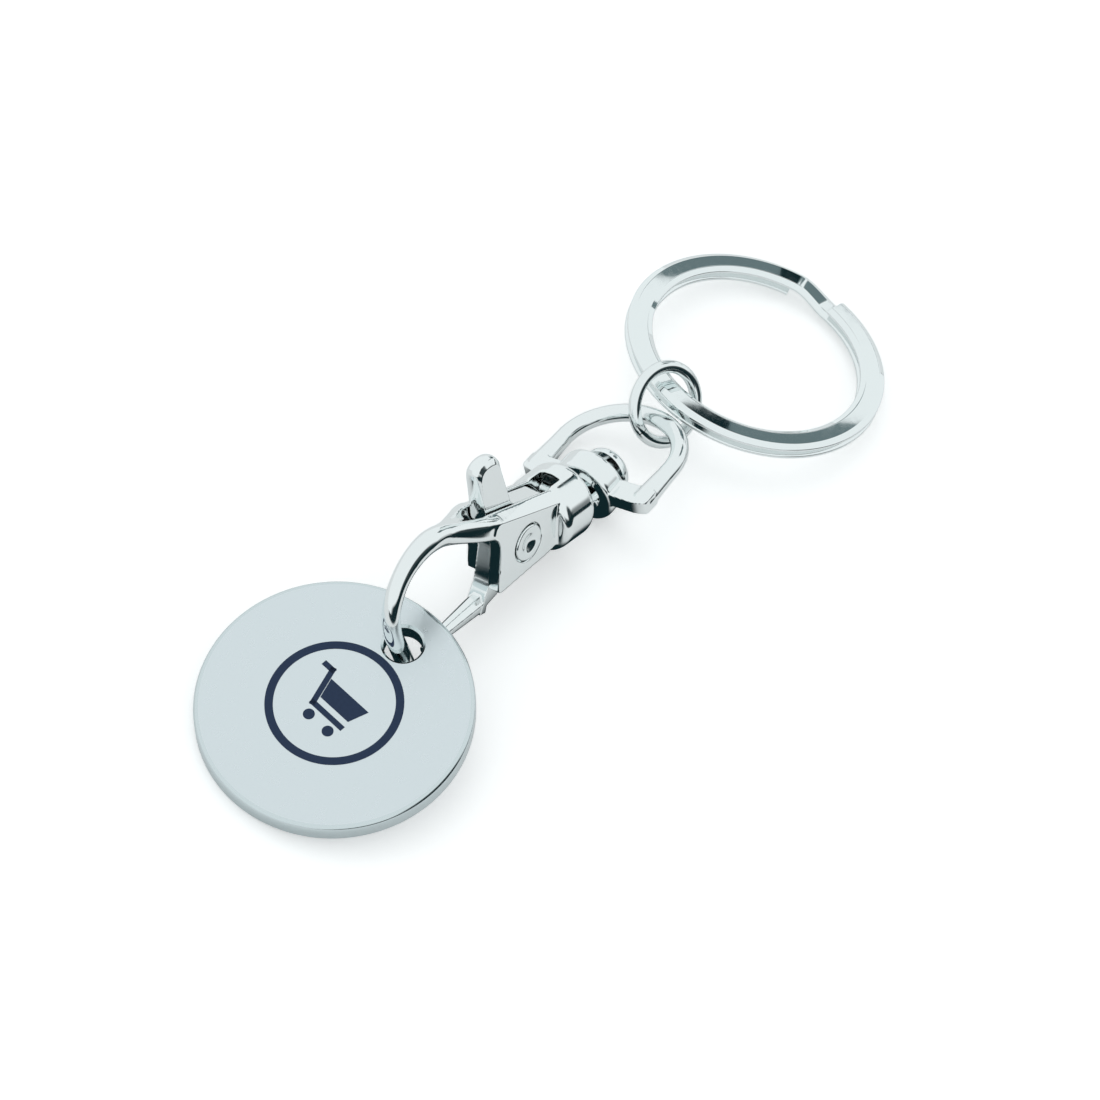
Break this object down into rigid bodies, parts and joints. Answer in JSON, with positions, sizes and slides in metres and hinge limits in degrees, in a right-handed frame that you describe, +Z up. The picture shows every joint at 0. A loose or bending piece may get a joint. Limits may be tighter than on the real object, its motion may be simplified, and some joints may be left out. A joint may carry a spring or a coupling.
{
  "type": "trolley coin keyring",
  "caption": "Keyring with a drilled steel trolley token held on a lever clasp, a swivel loop, a jump ring and a split ring; the lever presses open and the links swing.",
  "frame": {"origin": "middle of the bottom face of the keyring's box, as it lies on a table", "axes": "+X runs from the token to the split ring, +Z is up off the table, +Y is to the left when looking along +X"},
  "size_m": [0.079, 0.0238, 0.0163],
  "materials": {
    "token_steel": "satin face, polished rim",
    "body_nickel": "polished nickel plating on a cast body",
    "rivet_nickel": "plated steel rivet, spun over",
    "lever_nickel": "polished nickel plating on a cast lever",
    "spring_steel": "drawn spring wire",
    "post_nickel": "polished nickel plating on a turned post",
    "loop_nickel": "polished nickel plating on a cast loop",
    "jump_ring_nickel": "polished nickel plating on round wire",
    "split_ring_nickel": "polished nickel plating on bevelled spring wire"
  },
  "bodies": {
    "clasp": {"hook_body": "body_nickel", "lever_pivot_rivet": "rivet_nickel", "lever_spring": "spring_steel"},
    "lever": {"lever": "lever_nickel"},
    "coin": {"coin": "token_steel"},
    "swivel": {"swivel_post": "post_nickel", "swivel_loop": "loop_nickel"},
    "jump_ring": {"jump_ring": "jump_ring_nickel"},
    "split_ring": {"split_ring": "split_ring_nickel"}
  },
  "joints": [
    {"name": "lever_press", "type": "hinge", "parent": "clasp", "child": "lever", "pos_m": [-0.00599, 0.00094, 0.00652], "axis": [-0.0553, 0.95, -0.3074], "range_deg": [0, 16], "stiffness_Nm_per_rad": 0.06, "springref_deg": -14.32, "deforming": ["lever_spring"]},
    {"name": "coin_slide", "type": "slide", "parent": "clasp", "child": "coin", "axis": [-0.2466, 0.2853, 0.9262], "range_m": [0, 0.0032]},
    {"name": "swivel_turn", "type": "hinge", "parent": "clasp", "child": "swivel", "pos_m": [0.00526, 0.00062, 0.0035], "axis": [0.9842, 0, -0.1771], "continuous": true},
    {"name": "jump_ring_swing", "type": "hinge", "parent": "swivel", "child": "jump_ring", "pos_m": [0.01465, 0.00157, 0.00392], "axis": [0.0737, -0.9092, 0.4097], "range_deg": [-30, 30]},
    {"name": "split_ring_swing", "type": "hinge", "parent": "jump_ring", "child": "split_ring", "pos_m": [0.01942, 0.00055, 0.00437], "axis": [0.1744, 0.5907, 0.7878], "range_deg": [-25, 25]}
  ],
  "couplings": [
    {"joint": "lever_press", "follows": "coin_slide", "rad_per_m": 87.26}
  ]
}
